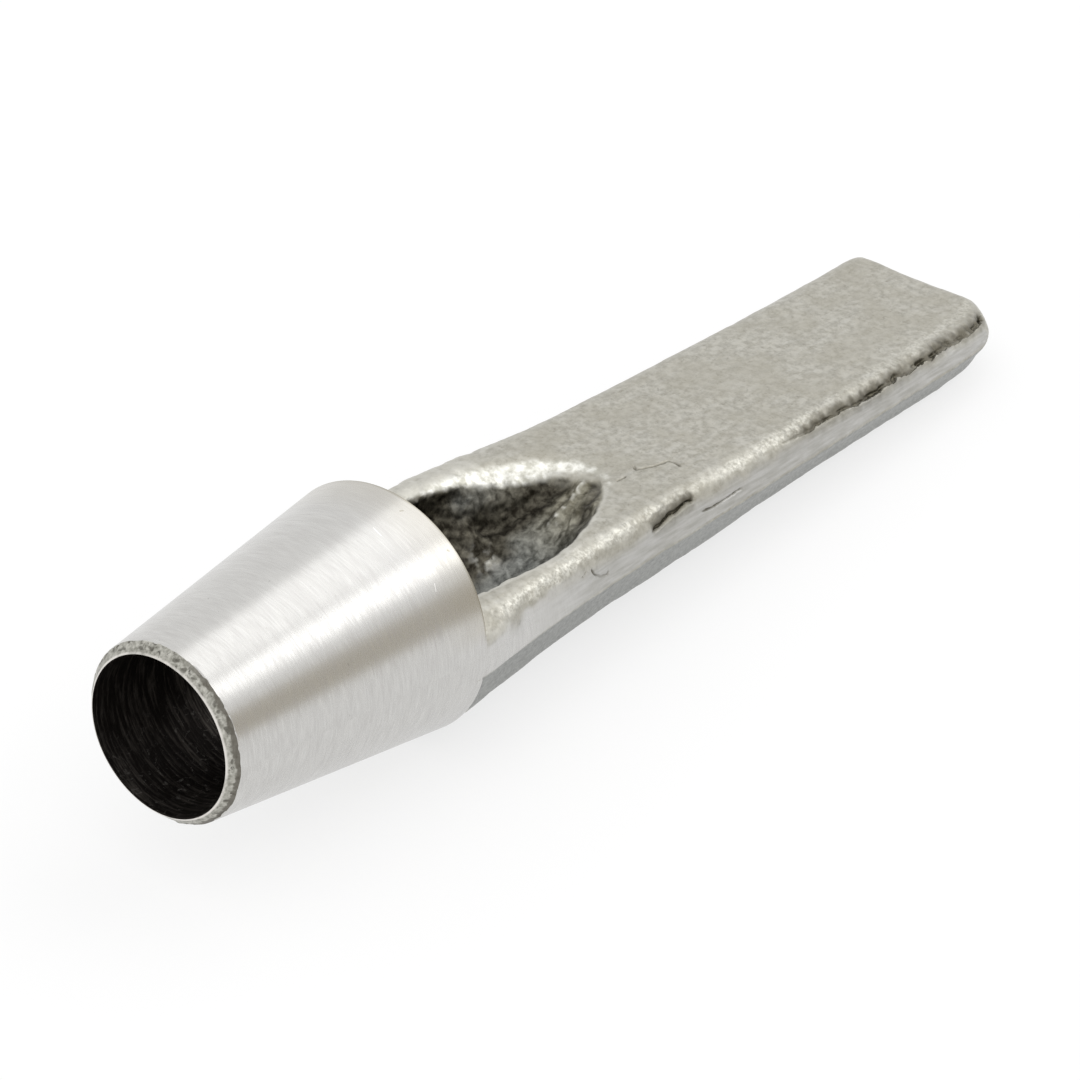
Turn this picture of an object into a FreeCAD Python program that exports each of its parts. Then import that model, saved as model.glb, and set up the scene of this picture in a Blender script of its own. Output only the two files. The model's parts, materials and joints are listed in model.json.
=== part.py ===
import FreeCAD, Part
import math
import os
import Sketcher

# A one-piece hollow punch: a conical cutting head, a slanting throat for the slugs and a flat shank.
# The model is drawn along X with the head's axis on the X axis: the sharp mouth is at X = 0, the struck
# end is at X = overall_length, and the throat opens upwards. It is then laid down as it rests on a bench.

doc = FreeCAD.newDocument("hollow_punch")
sizes = doc.addObject("Spreadsheet::Sheet", "sizes")

driving_sizes = (
    ("overall_length", 155.0, "mouth to struck end"),
    ("bore_dia", 20.0, "the hole that the punch cuts"),
    ("land_length", 12.0, "straight bore behind the cutting edge"),
    ("relief_dia", 20.8, "wider bore and throat that let the slugs pass"),
    ("edge_flat", 0.1, "what honing leaves of the cutting edge"),
    ("bevel_width", 1.1, "outer bevel behind the cutting edge, across"),
    ("bevel_depth", 1.2, "the same bevel, along the axis"),
    ("head_length", 39.0, "mouth to the head's rear rim"),
    ("head_dia", 31.8, "rear rim of the head, the largest diameter"),
    ("rim_break", 0.3, "broken edge on the rear rim"),
    ("root_depth", 3.0, "how far the arms reach into the head"),
    ("arm_inset", 1.0, "how far inside the rim the arms' flanks begin"),
    ("root_width", 24.0, "width of the arms inside the head"),
    ("arm_width", 31.2, "across both arms where their flanks begin"),
    ("waist_end", 80.0, "where the arms' curved flanks meet the straight shank"),
    ("shank_width", 26.8, "width of the shank at the forging's parting line"),
    ("far_corner", 4.0, "corner radius at the struck end, left side seen from the mouth"),
    ("near_corner", 10.0, "corner radius at the struck end, right side seen from the mouth"),
    ("end_trim", 1.0, "stock ground off the struck end to make it square"),
    ("face_stock", 1.0, "stock that the top and bottom faces are cut from"),
    ("parting_drop", 3.2, "parting line below the axis, at the rear rim"),
    ("parting_rise", 1.8, "how much the parting line climbs to the struck end"),
    ("top_height", 3.1, "top face above the axis, at the rear rim"),
    ("top_fall", 2.1, "how much the top face falls to the struck end"),
    ("arm_rise", 0.9, "how much the arms' tops curve up from that face to the rear rim"),
    ("bottom_depth", 9.9, "underside below the axis, at the rear rim"),
    ("bottom_rise", 3.7, "how much the underside climbs to the struck end"),
    ("top_draft", 11.0, "draft of the flanks above the parting line, degrees"),
    ("bottom_draft", 22.0, "draft of the flanks below the parting line, degrees"),
    ("shoulder_share", 0.42, "rounded shoulder along the top face, as a share of an arm's thickness"),
    ("heel_radius", 1.6, "rounded edge along the underside"),
    ("neck_dia", 28.4, "taper under the throat, at the rear rim"),
    ("neck_end", 76.0, "where that taper runs out into the underside"),
    ("neck_end_dia", 16.0, "diameter of the taper where it runs out"),
    ("neck_round", 430.0, "radius of the taper's gentle swell between its two ends"),
    ("throat_start", 46.0, "where the slug channel starts to climb"),
    ("throat_bend", 24.0, "bend radius of the slug channel's centre line"),
    ("throat_angle", 28.0, "climb of the slug channel, degrees"),
    ("throat_edge_share", 0.19, "rounding of the throat's rim, as a share of an arm's thickness"),
)
for row, (alias, value, meaning) in enumerate(driving_sizes, start=1):
    sizes.set(f"A{row}", alias)
    sizes.set(f"B{row}", str(value))
    sizes.setAlias(f"B{row}", alias)
    sizes.set(f"C{row}", meaning)
doc.recompute()


def size(alias):
    return float(sizes.get(alias))


body = doc.addObject("PartDesign::Body", "punch_body")
body.Label = "punch_body"


def origin_feature(role):
    return next(feature for feature in body.Origin.OriginFeatures if feature.Role == role)


def new_sketch(name, role):
    sketch = body.newObject("Sketcher::SketchObject", name)
    sketch.AttachmentSupport = [(origin_feature(role), "")]
    sketch.MapMode = "FlatFace"
    return sketch


# How a sketch's constraints name its origin, its X axis and the points of a line or an arc.
ORIGIN = (-1, 1)
X_AXIS = -1
START, END, CENTRE = range(1, 4)


def spot(across, up):
    return FreeCAD.Vector(across, up, 0)


def arc(centre, radius, start, stop):
    return Part.ArcOfCircle(Part.Circle(centre, FreeCAD.Vector(0, 0, 1), radius), start, stop)


def place(sketch, point, name, across=None, up=None):
    """Fix one point of a sketch by named distances from the origin, each an expression of the sizes."""
    for kind, expression in (("DistanceX", across), ("DistanceY", up)):
        if expression is None:
            continue
        label = f"{name}_{kind[-1].lower()}"
        here = sketch.getPoint(*point)
        now = here.x if kind == "DistanceX" else here.y
        sketch.addConstraint(Sketcher.Constraint(kind, *ORIGIN, *point, now))
        sketch.renameConstraint(sketch.ConstraintCount - 1, label)
        sketch.setExpression(f"Constraints.{label}", expression)


def set_round(sketch, kind, index, name, now, expression):
    """Give an arc or a circle of a sketch its named radius or diameter."""
    sketch.addConstraint(Sketcher.Constraint(kind, index, now))
    sketch.renameConstraint(sketch.ConstraintCount - 1, name)
    sketch.setExpression(f"Constraints.{name}", expression)


def polygon(sketch, corners):
    """Closed run of straight lines; each corner is (name, x expression, y expression, x now, y now)."""
    spots = [spot(x_now, y_now) for _, _, _, x_now, y_now in corners]
    count = len(spots)
    for i in range(count):
        sketch.addGeometry(Part.LineSegment(spots[i], spots[(i + 1) % count]), False)
    for i in range(count):
        sketch.addConstraint(Sketcher.Constraint("Coincident", i, END, (i + 1) % count, START))
    for i, (name, across, up, _, _) in enumerate(corners):
        place(sketch, (i, START), name, across, up)


# Outline of the arms and shank in the forging's parting plane. The plane drops below the axis and
# climbs a little towards the struck end.
length = size("overall_length")
head_length = size("head_length")
parting_slope = "(sizes.parting_rise / (sizes.overall_length - sizes.head_length))"
plan = new_sketch("plan_outline", "XY_Plane")
plan.setExpression("AttachmentOffset.Rotation.Axis.x", "0")
plan.setExpression("AttachmentOffset.Rotation.Axis.y", "-1")
plan.setExpression("AttachmentOffset.Rotation.Axis.z", "0")
plan.setExpression("AttachmentOffset.Rotation.Angle", f"atan({parting_slope})")
plan.setExpression(
    "AttachmentOffset.Base.z", f"-sizes.parting_drop - sizes.head_length * {parting_slope}"
)

root_x = head_length - size("root_depth")
arm_x = head_length - size("arm_inset")
root_y = size("root_width") / 2
arm_y = size("arm_width") / 2
waist_x = size("waist_end")
shank_y = size("shank_width") / 2
far_corner = size("far_corner")
near_corner = size("near_corner")
stock_x = length + size("end_trim")
flank_radius = ((waist_x - arm_x) ** 2 + (arm_y - shank_y) ** 2) / (2 * (arm_y - shank_y))
flank_turn = math.asin((waist_x - arm_x) / flank_radius)

ROOT, ARM_FAR, FLANK_FAR, SIDE_FAR, CORNER_FAR, END_FACE = range(6)
CORNER_NEAR, SIDE_NEAR, FLANK_NEAR, ARM_NEAR = range(6, 10)
quarter = math.pi / 2
plan.addGeometry(Part.LineSegment(spot(root_x, -root_y), spot(root_x, root_y)), False)
plan.addGeometry(Part.LineSegment(spot(root_x, root_y), spot(arm_x, arm_y)), False)
plan.addGeometry(
    arc(spot(waist_x, shank_y + flank_radius), flank_radius, 3 * quarter - flank_turn, 3 * quarter), False
)
plan.addGeometry(Part.LineSegment(spot(waist_x, shank_y), spot(stock_x - far_corner, shank_y)), False)
plan.addGeometry(arc(spot(stock_x - far_corner, shank_y - far_corner), far_corner, 0, quarter), False)
plan.addGeometry(
    Part.LineSegment(spot(stock_x, shank_y - far_corner), spot(stock_x, near_corner - shank_y)), False
)
plan.addGeometry(
    arc(spot(stock_x - near_corner, near_corner - shank_y), near_corner, 3 * quarter, 4 * quarter), False
)
plan.addGeometry(Part.LineSegment(spot(stock_x - near_corner, -shank_y), spot(waist_x, -shank_y)), False)
plan.addGeometry(
    arc(spot(waist_x, -shank_y - flank_radius), flank_radius, quarter, quarter + flank_turn), False
)
plan.addGeometry(Part.LineSegment(spot(arm_x, -arm_y), spot(root_x, -root_y)), False)
sharp_joints = (
    (ROOT, END, ARM_FAR, START), (ARM_FAR, END, FLANK_FAR, START),
    (FLANK_NEAR, END, ARM_NEAR, START), (ARM_NEAR, END, ROOT, START),
)
smooth_joints = (
    (FLANK_FAR, END, SIDE_FAR, START), (SIDE_FAR, END, CORNER_FAR, END),
    (CORNER_FAR, START, END_FACE, START), (END_FACE, END, CORNER_NEAR, END),
    (CORNER_NEAR, START, SIDE_NEAR, START), (SIDE_NEAR, END, FLANK_NEAR, START),
)
for joint in sharp_joints:
    plan.addConstraint(Sketcher.Constraint("Coincident", *joint))
for joint in smooth_joints:
    plan.addConstraint(Sketcher.Constraint("Tangent", *joint))
for line in (SIDE_FAR, SIDE_NEAR):
    plan.addConstraint(Sketcher.Constraint("Horizontal", line))
plan.addConstraint(Sketcher.Constraint("Vertical", END_FACE))
inside_head = "sizes.head_length - sizes.root_depth"
arms_from = "sizes.head_length - sizes.arm_inset"
place(plan, (ROOT, START), "root_near", inside_head, "-sizes.root_width / 2")
place(plan, (ROOT, END), "root_far", inside_head, "sizes.root_width / 2")
place(plan, (ARM_FAR, END), "arm_far", arms_from, "sizes.arm_width / 2")
place(plan, (ARM_NEAR, START), "arm_near", arms_from, "-sizes.arm_width / 2")
place(plan, (SIDE_FAR, START), "waist_far", "sizes.waist_end", "sizes.shank_width / 2")
place(plan, (SIDE_NEAR, END), "waist_near", "sizes.waist_end", "-sizes.shank_width / 2")
place(plan, (END_FACE, START), "stock", "sizes.overall_length + sizes.end_trim")
set_round(plan, "Radius", CORNER_FAR, "corner_far", far_corner, "sizes.far_corner")
set_round(plan, "Radius", CORNER_NEAR, "corner_near", near_corner, "sizes.near_corner")
doc.recompute()

# The forged blank: the outline grows up and down from the parting line, each half with its own draft.
blank = body.newObject("PartDesign::Pad", "forged_blank")
blank.Profile = plan
blank.SideType = "Two sides"
blank.setExpression("Length", "sizes.parting_drop + sizes.top_height + sizes.arm_rise + sizes.face_stock")
blank.setExpression("Length2", "sizes.bottom_depth - sizes.parting_drop + sizes.face_stock")
blank.setExpression("TaperAngle", "-sizes.top_draft")
blank.setExpression("TaperAngle2", "-sizes.bottom_draft")
doc.recompute()


def cut_through(sketch, name):
    """Cut a sketch drawn in the side view right across the tool, to both sides."""
    pocket = body.newObject("PartDesign::Pocket", name)
    pocket.Profile = sketch
    pocket.SideType = "Symmetric"
    pocket.setExpression("Length", "sizes.arm_width + sizes.head_dia")
    doc.recompute()
    return pocket


# The top and bottom faces are flat and close up a little towards the struck end, which is ground square.
before_x = "sizes.head_length - 2 * sizes.root_depth"
beyond_x = "sizes.overall_length + 2 * sizes.end_trim"
before_now = head_length - 2 * size("root_depth")
beyond_now = length + 2 * size("end_trim")
reach = size("head_dia")


def face_line(height, change, at):
    """Distance of a sloping face from the axis at a place along the tool, as an expression."""
    slope = f"sizes.{change} / (sizes.overall_length - sizes.head_length)"
    return f"(sizes.{height} - (({at}) - sizes.head_length) * {slope})"


def face_now(height, change, at):
    """The same distance as a number."""
    return size(height) - (at - head_length) * size(change) / (length - head_length)


# Beside the throat the top face curves up towards the rear rim, in an arc tangent to its flat part.
arms_run = waist_x - head_length
rise_radius = arms_run ** 2 / (2 * size("arm_rise"))


def top_now(at):
    """Height of the top face above the axis at a place along the tool."""
    height = face_now("top_height", "top_fall", at)
    if at < waist_x:
        height += rise_radius - math.sqrt(rise_radius ** 2 - (waist_x - at) ** 2)
    return height


top_angle = math.atan(size("top_fall") / (length - head_length))
rise_centre = spot(
    waist_x + rise_radius * math.sin(top_angle), top_now(waist_x) + rise_radius * math.cos(top_angle)
)
rise_turn = math.asin((waist_x - before_now) / rise_radius)
top_side = new_sketch("top_side_view", "XZ_Plane")
RISE, FLAT, RIGHT, ABOVE, LEFT = range(5)
top_side.addGeometry(
    arc(rise_centre, rise_radius, 3 * quarter - top_angle - rise_turn, 3 * quarter - top_angle), False
)
rise_start = top_side.getPoint(RISE, START)
top_corners = (
    spot(waist_x, top_now(waist_x)), spot(beyond_now, top_now(beyond_now)),
    spot(beyond_now, reach), spot(before_now, reach), rise_start,
)
for corner_from, corner_to in zip(top_corners, top_corners[1:]):
    top_side.addGeometry(Part.LineSegment(corner_from, corner_to), False)
top_side.addConstraint(Sketcher.Constraint("Tangent", RISE, END, FLAT, START))
for line in (FLAT, RIGHT, ABOVE):
    top_side.addConstraint(Sketcher.Constraint("Coincident", line, END, line + 1, START))
top_side.addConstraint(Sketcher.Constraint("Coincident", LEFT, END, RISE, START))
set_round(
    top_side, "Radius", RISE, "rise", rise_radius,
    "(sizes.waist_end - sizes.head_length) ^ 2 / (2 * sizes.arm_rise)",
)
place(top_side, (RISE, START), "rise_start", before_x)
flat_from = face_line("top_height", "top_fall", "sizes.waist_end")
place(top_side, (FLAT, START), "waist", "sizes.waist_end", flat_from)
place(top_side, (FLAT, END), "low_right", beyond_x, face_line("top_height", "top_fall", beyond_x))
place(top_side, (RIGHT, END), "high_right", beyond_x, "sizes.head_dia")
place(top_side, (ABOVE, END), "high_left", before_x, "sizes.head_dia")
cut_through(top_side, "top_face")

bottom_side = new_sketch("bottom_side_view", "XZ_Plane")
polygon(bottom_side, (
    ("low_left", before_x, "-sizes.head_dia", before_now, -reach),
    ("low_right", beyond_x, "-sizes.head_dia", beyond_now, -reach),
    ("high_right", beyond_x, "-" + face_line("bottom_depth", "bottom_rise", beyond_x),
     beyond_now, -face_now("bottom_depth", "bottom_rise", beyond_now)),
    ("high_left", before_x, "-" + face_line("bottom_depth", "bottom_rise", before_x),
     before_now, -face_now("bottom_depth", "bottom_rise", before_now)),
))
cut_through(bottom_side, "bottom_face")

end_side = new_sketch("end_side_view", "XZ_Plane")
polygon(end_side, (
    ("low_left", "sizes.overall_length", "-sizes.head_dia", length, -reach),
    ("low_right", beyond_x, "-sizes.head_dia", beyond_now, -reach),
    ("high_right", beyond_x, "sizes.head_dia", beyond_now, reach),
    ("high_left", "sizes.overall_length", "sizes.head_dia", length, reach),
))
square_end = cut_through(end_side, "square_end")


EDGE_POINTS = 5
NEAR_ENOUGH = 0.01


def bottom_now(at):
    return -face_now("bottom_depth", "bottom_rise", at)


def edges_on_face(shape, face_height):
    """Names of the edges round the top or bottom face, without those inside the head or where the
    curved part of the top runs smoothly into its flat part."""
    names = []
    for number, edge in enumerate(shape.Edges, start=1):
        if edge.BoundBox.XMax < head_length + size("root_depth"):
            continue
        points = edge.discretize(EDGE_POINTS)
        if all(abs(point.x - waist_x) < NEAR_ENOUGH for point in points):
            continue
        offsets = [point.z - face_height(point.x) for point in points]
        if max(abs(offset) for offset in offsets) < NEAR_ENOUGH:
            names.append(f"Edge{number}")
    return names


def round_edges(base, name, names, radius):
    fillet = body.newObject("PartDesign::Fillet", name)
    fillet.Base = (base, names)
    fillet.setExpression("Radius", radius)
    doc.recompute()
    return fillet


# Each arm is what the throat leaves of the forging's width, and its roundings are shares of that.
arm_thickness = "(sizes.arm_width - sizes.relief_dia) / 2"
top_edges = edges_on_face(square_end.Shape, top_now)
shoulder = round_edges(square_end, "shoulder", top_edges, f"sizes.shoulder_share * {arm_thickness}")
bottom_edges = edges_on_face(shoulder.Shape, bottom_now)
round_edges(shoulder, "heel", bottom_edges, "sizes.heel_radius")


# Under the throat the forging keeps a taper round the bore, which swells a little and runs out into the
# underside. It is turned on the head's axis, and only its lower half is used.
neck_x = size("neck_end")
neck_round = size("neck_round")
neck_root = spot(root_x, size("neck_dia") / 2)
neck_rim = spot(head_length, size("neck_dia") / 2)
neck_small = spot(neck_x, size("neck_end_dia") / 2)
chord = neck_rim - neck_small
swell = neck_round - math.sqrt(neck_round ** 2 - chord.Length ** 2 / 4)
outwards = spot(chord.y, -chord.x).normalize()
neck_middle = (neck_rim + neck_small) / 2 + outwards * swell
neck_profile = new_sketch("neck_profile", "XY_Plane")
TAPER = 2
neck_profile.addGeometry(Part.LineSegment(spot(root_x, 0), spot(neck_x, 0)), False)
neck_profile.addGeometry(Part.LineSegment(spot(neck_x, 0), neck_small), False)
neck_profile.addGeometry(Part.Arc(neck_small, neck_middle, neck_rim), False)
neck_profile.addGeometry(Part.LineSegment(neck_rim, neck_root), False)
neck_profile.addGeometry(Part.LineSegment(neck_root, spot(root_x, 0)), False)
neck_lines = neck_profile.GeometryCount
for line in range(neck_lines):
    neck_profile.addConstraint(Sketcher.Constraint("Coincident", line, END, (line + 1) % neck_lines, START))
place(neck_profile, (0, START), "axis_start", inside_head, "0")
place(neck_profile, (0, END), "axis_end", "sizes.neck_end", "0")
place(neck_profile, (TAPER, START), "small_end", "sizes.neck_end", "sizes.neck_end_dia / 2")
place(neck_profile, (TAPER, END), "rim", "sizes.head_length", "sizes.neck_dia / 2")
place(neck_profile, (TAPER + 1, END), "root", inside_head, "sizes.neck_dia / 2")
set_round(neck_profile, "Radius", TAPER, "swell", neck_round, "sizes.neck_round")


def turn(name, profile, angle, downwards=False):
    feature = body.newObject("PartDesign::Revolution", name)
    feature.Profile = profile
    feature.ReferenceAxis = (origin_feature("X_Axis"), [""])
    feature.Angle = angle
    feature.Reversed = downwards
    doc.recompute()
    return feature


turn("neck", neck_profile, 180, downwards=True)

# The cutting head: a ground cone with a sharp rear rim and a short bevel at the mouth.
bore_now = size("bore_dia") / 2
edge_now = bore_now + size("edge_flat")
bevel_now = edge_now + size("bevel_width")
rim_now = size("head_dia") / 2
rim_break = size("rim_break")
head_profile = new_sketch("head_profile", "XZ_Plane")
polygon(head_profile, (
    ("mouth", "0", "0", 0, 0),
    ("cutting_edge", "0", "sizes.bore_dia / 2 + sizes.edge_flat", 0, edge_now),
    ("bevel", "sizes.bevel_depth", "sizes.bore_dia / 2 + sizes.edge_flat + sizes.bevel_width",
     size("bevel_depth"), bevel_now),
    ("rim_front", "sizes.head_length - sizes.rim_break", "sizes.head_dia / 2",
     head_length - rim_break, rim_now),
    ("rim_back", "sizes.head_length", "sizes.head_dia / 2 - sizes.rim_break",
     head_length, rim_now - rim_break),
    ("back", "sizes.head_length", "0", head_length, 0),
))
turn("head", head_profile, 360)

# The bore: a straight land behind the cutting edge.
land_circle = new_sketch("land_circle", "YZ_Plane")
land_circle.addGeometry(Part.Circle(spot(0, 0), FreeCAD.Vector(0, 0, 1), bore_now), False)
land_circle.addConstraint(Sketcher.Constraint("Coincident", 0, CENTRE, *ORIGIN))
set_round(land_circle, "Diameter", 0, "bore", size("bore_dia"), "sizes.bore_dia")
land = body.newObject("PartDesign::Pocket", "land")
land.Profile = land_circle
land.Reversed = True
land.setExpression("Length", "sizes.land_length")
doc.recompute()

# The slug channel: a wider round bore from the land, bent upwards, that runs out through the top face.
throat_x = size("throat_start")
bend = size("throat_bend")
climb = math.radians(size("throat_angle"))
relief_now = size("relief_dia") / 2
land_now = size("land_length")
out_run = (size("head_dia") - bend * (1 - math.cos(climb))) / math.tan(climb)
bend_end_x = throat_x + bend * math.sin(climb)
bend_end_z = bend * (1 - math.cos(climb))

channel_path = new_sketch("channel_path", "XZ_Plane")
channel_path.addGeometry(Part.LineSegment(spot(land_now, 0), spot(throat_x, 0)), False)
channel_path.addGeometry(arc(spot(throat_x, bend), bend, 3 * quarter, 3 * quarter + climb), False)
channel_path.addGeometry(
    Part.LineSegment(
        spot(bend_end_x, bend_end_z),
        spot(bend_end_x + out_run, bend_end_z + out_run * math.tan(climb)),
    ), False
)
STRAIGHT, BEND, CLIMB = range(3)
channel_path.addConstraint(Sketcher.Constraint("Horizontal", STRAIGHT))
channel_path.addConstraint(Sketcher.Constraint("Tangent", STRAIGHT, END, BEND, START))
channel_path.addConstraint(Sketcher.Constraint("Tangent", BEND, END, CLIMB, START))
place(channel_path, (STRAIGHT, START), "relief", "sizes.land_length", "0")
place(channel_path, (STRAIGHT, END), "throat", "sizes.throat_start")
set_round(channel_path, "Radius", BEND, "bend", bend, "sizes.throat_bend")
channel_path.addConstraint(Sketcher.Constraint("Angle", X_AXIS, START, CLIMB, START, climb))
channel_path.renameConstraint(channel_path.ConstraintCount - 1, "climb")
channel_path.setExpression("Constraints.climb", "sizes.throat_angle * 1 deg")
place(channel_path, (CLIMB, END), "way_out", None, "sizes.head_dia")

channel_circle = new_sketch("channel_circle", "YZ_Plane")
channel_circle.setExpression("AttachmentOffset.Base.z", "sizes.land_length")
channel_circle.addGeometry(Part.Circle(spot(0, 0), FreeCAD.Vector(0, 0, 1), relief_now), False)
channel_circle.addConstraint(Sketcher.Constraint("Coincident", 0, CENTRE, *ORIGIN))
set_round(channel_circle, "Diameter", 0, "relief", size("relief_dia"), "sizes.relief_dia")
channel = body.newObject("PartDesign::SubtractivePipe", "slug_channel")
channel.Profile = channel_circle
channel.Spine = channel_path
doc.recompute()
throat_rim = []
for name in edges_on_face(channel.Shape, top_now):
    edge = channel.Shape.getElement(name)
    widest = max(abs(point.y) for point in edge.discretize(EDGE_POINTS))
    if widest < relief_now + NEAR_ENOUGH and edge.BoundBox.XMax < length - far_corner:
        throat_rim.append(name)
round_edges(channel, "throat_rim", throat_rim, f"sizes.throat_edge_share * {arm_thickness}")

# Laid on a bench, the tool touches it at the lowest point of the rear rim and at the rounded heel under
# the struck end. The heel's centre lies its own radius inside the underside and the drafted end.
heel_radius = size("heel_radius")
climb_per_length = size("bottom_rise") / (length - head_length)
underside_angle = math.atan(climb_per_length)
parting_angle = math.atan(size("parting_rise") / (length - head_length))
end_lean = math.radians(size("bottom_draft")) - parting_angle
parting_x = stock_x * math.cos(parting_angle)
parting_z = -face_now("parting_drop", "parting_rise", 0) + stock_x * math.sin(parting_angle)
inside_underside = (-math.sin(underside_angle), math.cos(underside_angle))
inside_end = (-math.cos(end_lean), math.sin(end_lean))
under_rim_z = -size("bottom_depth")
reach_underside = heel_radius + inside_underside[0] * head_length + inside_underside[1] * under_rim_z
reach_end = heel_radius + inside_end[0] * parting_x + inside_end[1] * parting_z
cross = inside_underside[0] * inside_end[1] - inside_underside[1] * inside_end[0]
heel_x = (reach_underside * inside_end[1] - inside_underside[1] * reach_end) / cross
heel_z = (inside_underside[0] * reach_end - reach_underside * inside_end[0]) / cross
to_heel_x = heel_x - (head_length - rim_break)
to_heel_z = heel_z + rim_now
heel_turn = math.asin(heel_radius / math.hypot(to_heel_x, to_heel_z))
rest_angle = math.atan2(to_heel_z, to_heel_x) - heel_turn
rest_turn = FreeCAD.Rotation(FreeCAD.Vector(0, 1, 0), math.degrees(rest_angle))
body.Placement = FreeCAD.Placement(spot(0, 0), rest_turn)
doc.recompute()
box = body.Shape.optimalBoundingBox(False, False)
body.Placement.Base = FreeCAD.Vector(-(box.XMin + box.XMax) / 2, -(box.YMin + box.YMax) / 2, -box.ZMin)
doc.recompute()

for item in doc.Objects:
    if "Invalid" in item.State or "Error" in item.State:
        raise RuntimeError(f"{item.Label} did not build")
if body.Shape.isNull() or not body.Shape.isValid() or len(body.Shape.Solids) != 1:
    raise RuntimeError(f"{body.Label} is not one sound solid")

os.makedirs("parts", exist_ok=True)
body.Shape.exportStep(f"parts/{body.Label}.step")
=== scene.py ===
import json
import math
import bmesh
import bpy
import numpy as np
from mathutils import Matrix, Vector


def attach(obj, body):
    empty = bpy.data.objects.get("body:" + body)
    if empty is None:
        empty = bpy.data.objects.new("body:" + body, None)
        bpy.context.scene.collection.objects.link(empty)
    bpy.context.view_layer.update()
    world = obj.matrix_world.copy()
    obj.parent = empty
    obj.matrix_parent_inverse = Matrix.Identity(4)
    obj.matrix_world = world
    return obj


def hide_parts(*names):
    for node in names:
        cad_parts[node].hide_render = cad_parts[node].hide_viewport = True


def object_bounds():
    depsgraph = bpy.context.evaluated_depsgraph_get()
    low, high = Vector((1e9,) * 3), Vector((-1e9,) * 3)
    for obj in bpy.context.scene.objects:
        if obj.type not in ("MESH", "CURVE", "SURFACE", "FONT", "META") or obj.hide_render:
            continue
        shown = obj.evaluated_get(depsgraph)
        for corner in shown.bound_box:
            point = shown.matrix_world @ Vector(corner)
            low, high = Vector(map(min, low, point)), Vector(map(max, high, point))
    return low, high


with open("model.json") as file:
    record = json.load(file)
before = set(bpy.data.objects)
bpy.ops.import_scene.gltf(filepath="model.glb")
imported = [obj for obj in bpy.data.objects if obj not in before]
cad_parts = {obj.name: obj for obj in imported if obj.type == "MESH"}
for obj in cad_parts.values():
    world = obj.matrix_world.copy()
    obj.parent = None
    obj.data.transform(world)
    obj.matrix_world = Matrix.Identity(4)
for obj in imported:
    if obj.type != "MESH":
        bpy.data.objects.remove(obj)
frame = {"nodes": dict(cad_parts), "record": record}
cad_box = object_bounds()

# How the punch lies. It is one drop-forged piece of tool steel, laid on a bench with its throat upwards and
# resting on the rear rim of the head and the heel under the struck end. Every mark on it is placed in
# millimetres along it from the mouth, across it, and up from the axis of its bore.
bore = next(mount for mount in frame["record"]["mounts"] if mount["name"] == "cutting_bore")
along = -Vector(bore["axis"])
across = Vector((0, 1, 0))
upwards = along.cross(across)
mouth = Vector(bore["pos_m"]) - along * bore["dims"]["length_mm"] / 2000
directions = np.array([along, across, upwards])


def to_punch(points):
    """Bench frame in metres to millimetres along, across and up from the bore's axis."""
    return (points - np.array(mouth)) @ directions.T * 1000


def to_bench(points):
    return points @ directions / 1000 + np.array(mouth)


# The cutting head. It is turned from the solid end of the forging and ground bright as a cone, with a sharp
# rim at its back; on both sides the grinding runs straight over onto the arms, without a rim.
MOUTH_RADIUS = 10.0
EDGE_FLAT = 0.1
BEVEL_DEPTH, BEVEL_RADIUS = 1.2, 11.2
RIM_AT, RIM_RADIUS, RIM_BREAK = 39.0, 15.9, 0.3
LAND_DEPTH, RELIEF_RADIUS = 12.0, 10.4
ROUND_STEPS = 720
CONE_RISE = (RIM_RADIUS - BEVEL_RADIUS) / (RIM_AT - RIM_BREAK - BEVEL_DEPTH)


def run(start, stop, spacing):
    """Points along a straight stretch of the head's profile, without its last one."""
    count = max(1, round(math.dist(start, stop) / spacing))
    return [tuple(np.array(start) + (np.array(stop) - start) * i / count) for i in range(count)]


def ramp(values, low, high):
    """0 below low, 1 above high, and a smooth change between."""
    part = np.clip((values - low) / (high - low), 0, 1)
    return part * part * (3 - 2 * part)


def lumps(points, grain, shift):
    """Smooth uneven bumps between -1 and 1, about one grain apart, at each of the points."""
    place = points / grain + shift * 17.3
    cell = np.floor(place).astype(np.int64)
    part = place - cell
    part = part * part * (3 - 2 * part)
    total = np.zeros(len(points))
    for corner in range(8):
        step = np.array([corner & 1, corner >> 1 & 1, corner >> 2 & 1])
        x, y, z = (cell + step).T
        mixed = (x * 73856093) ^ (y * 19349663) ^ (z * 83492791)
        mixed = (mixed ^ (mixed >> 13)) * 1274126177
        value = ((mixed ^ (mixed >> 16)) & 0xFFFF) / 32767.5 - 1
        weight = np.prod(np.where(step, part, 1 - part), axis=1)
        total += weight * value
    return total


def beside_arms(points):
    """1 on the two sides where the cone runs onto the arms, from the parting line up to the shoulders."""
    lift = np.degrees(np.arctan2(points[:, 2], np.abs(points[:, 1])))
    return ramp(lift, -12.6, -11.2) * (1 - ramp(lift, 5.0, 13.0))


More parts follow.
